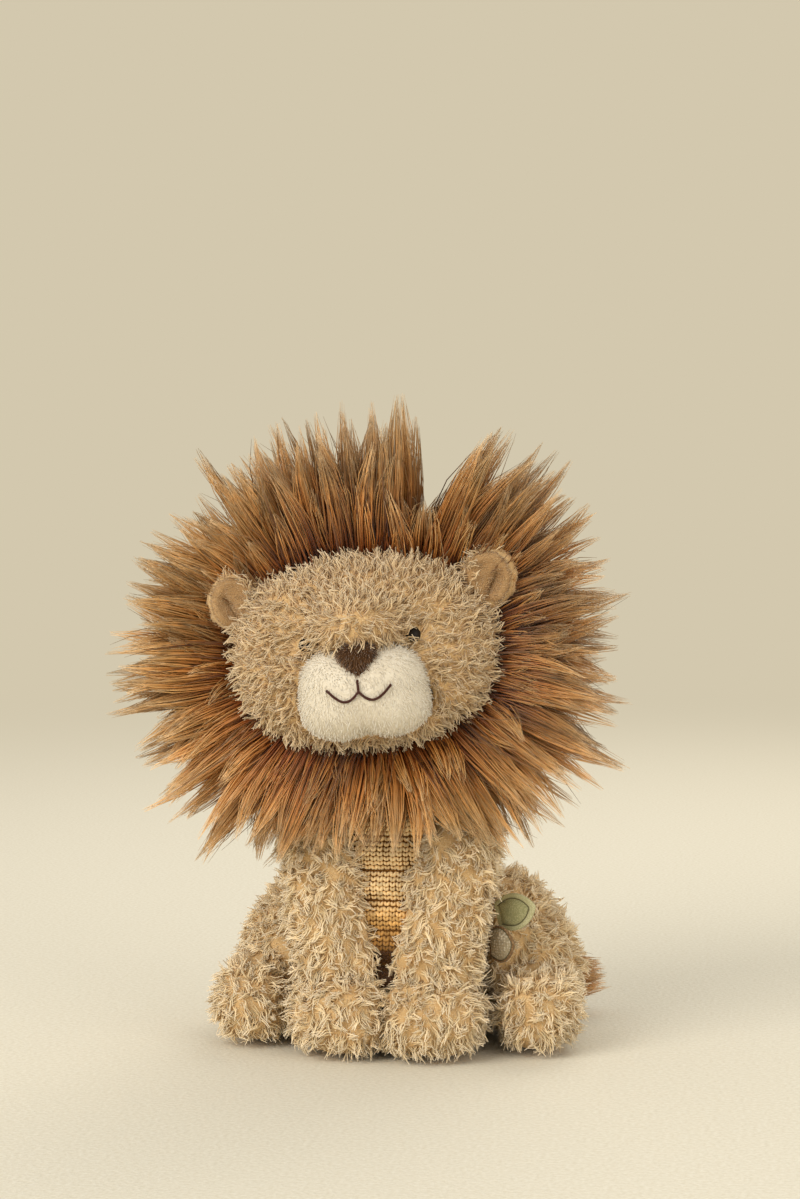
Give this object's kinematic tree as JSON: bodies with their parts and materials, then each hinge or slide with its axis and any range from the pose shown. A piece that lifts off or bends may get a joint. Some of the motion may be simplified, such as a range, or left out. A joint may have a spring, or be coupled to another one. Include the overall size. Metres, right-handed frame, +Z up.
{
  "type": "plush lion",
  "caption": "Sitting stuffed lion with a long-pile mane, minky muzzle, knitted chest panel, turning head and flexing legs, ears and tail.",
  "frame": {"origin": "on the floor under the seat, in the middle of the flat seat panel's front half", "axes": "+X to the viewer's right, +Y to the toy's back, +Z up"},
  "size_m": [0.1903, 0.1589, 0.2449],
  "materials": {
    "plush": "matte",
    "knit": "matte",
    "pellet_cloth": "matte",
    "fibrefill": "matte",
    "leaf_sage": "matte",
    "leaf_beige": "matte",
    "minky_cream": "matte",
    "minky_brown": "matte",
    "minky_tan": "matte",
    "thread": "satin",
    "eye_plastic": "gloss",
    "washer_plastic": "matte",
    "mane_fur": "matte"
  },
  "bodies": {
    "torso": {"back_left": "plush", "back_right": "plush", "chest_panel": "knit", "seat_panel": "plush", "bean_bag": "pellet_cloth", "torso_stuffing": "fibrefill", "leaf_tab_upper": "leaf_sage", "leaf_tab_lower": "leaf_beige"},
    "head": {"neck": "plush", "face": "plush", "muzzle": "minky_cream", "nose": "minky_brown", "mouth_stitching": "thread", "head_stuffing": "fibrefill", "eye_left": "eye_plastic", "eye_right": "eye_plastic", "eye_washer_left": "washer_plastic", "eye_washer_right": "washer_plastic", "mane_crown_left": "mane_fur", "mane_crown_right": "mane_fur", "mane_cheek_left": "mane_fur", "mane_cheek_right": "mane_fur", "mane_bib": "mane_fur", "mane_back": "mane_fur"},
    "ear_left": {"ear_left": "plush", "ear_lining_left": "minky_tan"},
    "ear_right": {"ear_right": "plush", "ear_lining_right": "minky_tan"},
    "front_leg_left": {"front_leg_left": "plush", "front_leg_fill_left": "fibrefill", "front_paw_left": "plush"},
    "front_leg_right": {"front_leg_right": "plush", "front_leg_fill_right": "fibrefill", "front_paw_right": "plush"},
    "hind_leg_left": {"hind_leg_left": "plush", "hind_leg_fill_left": "fibrefill", "hind_paw_left": "plush"},
    "hind_leg_right": {"hind_leg_right": "plush", "hind_leg_fill_right": "fibrefill", "hind_paw_right": "plush"},
    "tail": {"tail": "plush", "tail_tuft": "mane_fur"}
  },
  "joints": [
    {"name": "head_turn", "type": "hinge", "parent": "torso", "child": "head", "pos_m": [-0.003, -0.004, 0.108], "axis": [-0.1045, 0, 0.9945], "range_deg": [-20, 20], "stiffness_Nm_per_rad": 0.08},
    {"name": "ear_left_flex", "type": "hinge", "parent": "head", "child": "ear_left", "pos_m": [-0.04642, -0.04365, 0.17047], "axis": [-0.3502, -0.0312, -0.9362], "range_deg": [-15, 15], "stiffness_Nm_per_rad": 0.01},
    {"name": "ear_right_flex", "type": "hinge", "parent": "head", "child": "ear_right", "pos_m": [0.03162, -0.03817, 0.17867], "axis": [-0.5372, -0.0312, 0.8429], "range_deg": [-15, 15], "stiffness_Nm_per_rad": 0.01},
    {"name": "front_leg_left_swing", "type": "hinge", "parent": "torso", "child": "front_leg_left", "pos_m": [-0.027, -0.021, 0.095], "axis": [-1, 0, 0], "range_deg": [0, 15], "stiffness_Nm_per_rad": 0.06},
    {"name": "front_leg_right_swing", "type": "hinge", "parent": "torso", "child": "front_leg_right", "pos_m": [0.027, -0.021, 0.095], "axis": [-1, 0, 0], "range_deg": [0, 15], "stiffness_Nm_per_rad": 0.06},
    {"name": "hind_leg_left_lift", "type": "hinge", "parent": "torso", "child": "hind_leg_left", "pos_m": [-0.0366, 0.021, 0.033], "axis": [-1, 0, 0], "range_deg": [0, 12], "stiffness_Nm_per_rad": 0.06},
    {"name": "hind_leg_right_lift", "type": "hinge", "parent": "torso", "child": "hind_leg_right", "pos_m": [0.0366, 0.021, 0.033], "axis": [-1, 0, 0], "range_deg": [0, 12], "stiffness_Nm_per_rad": 0.06},
    {"name": "tail_swing", "type": "hinge", "parent": "torso", "child": "tail", "pos_m": [0, 0.04837, 0.017], "axis": [0, 0, 1], "range_deg": [0, 55], "stiffness_Nm_per_rad": 0.01}
  ]
}
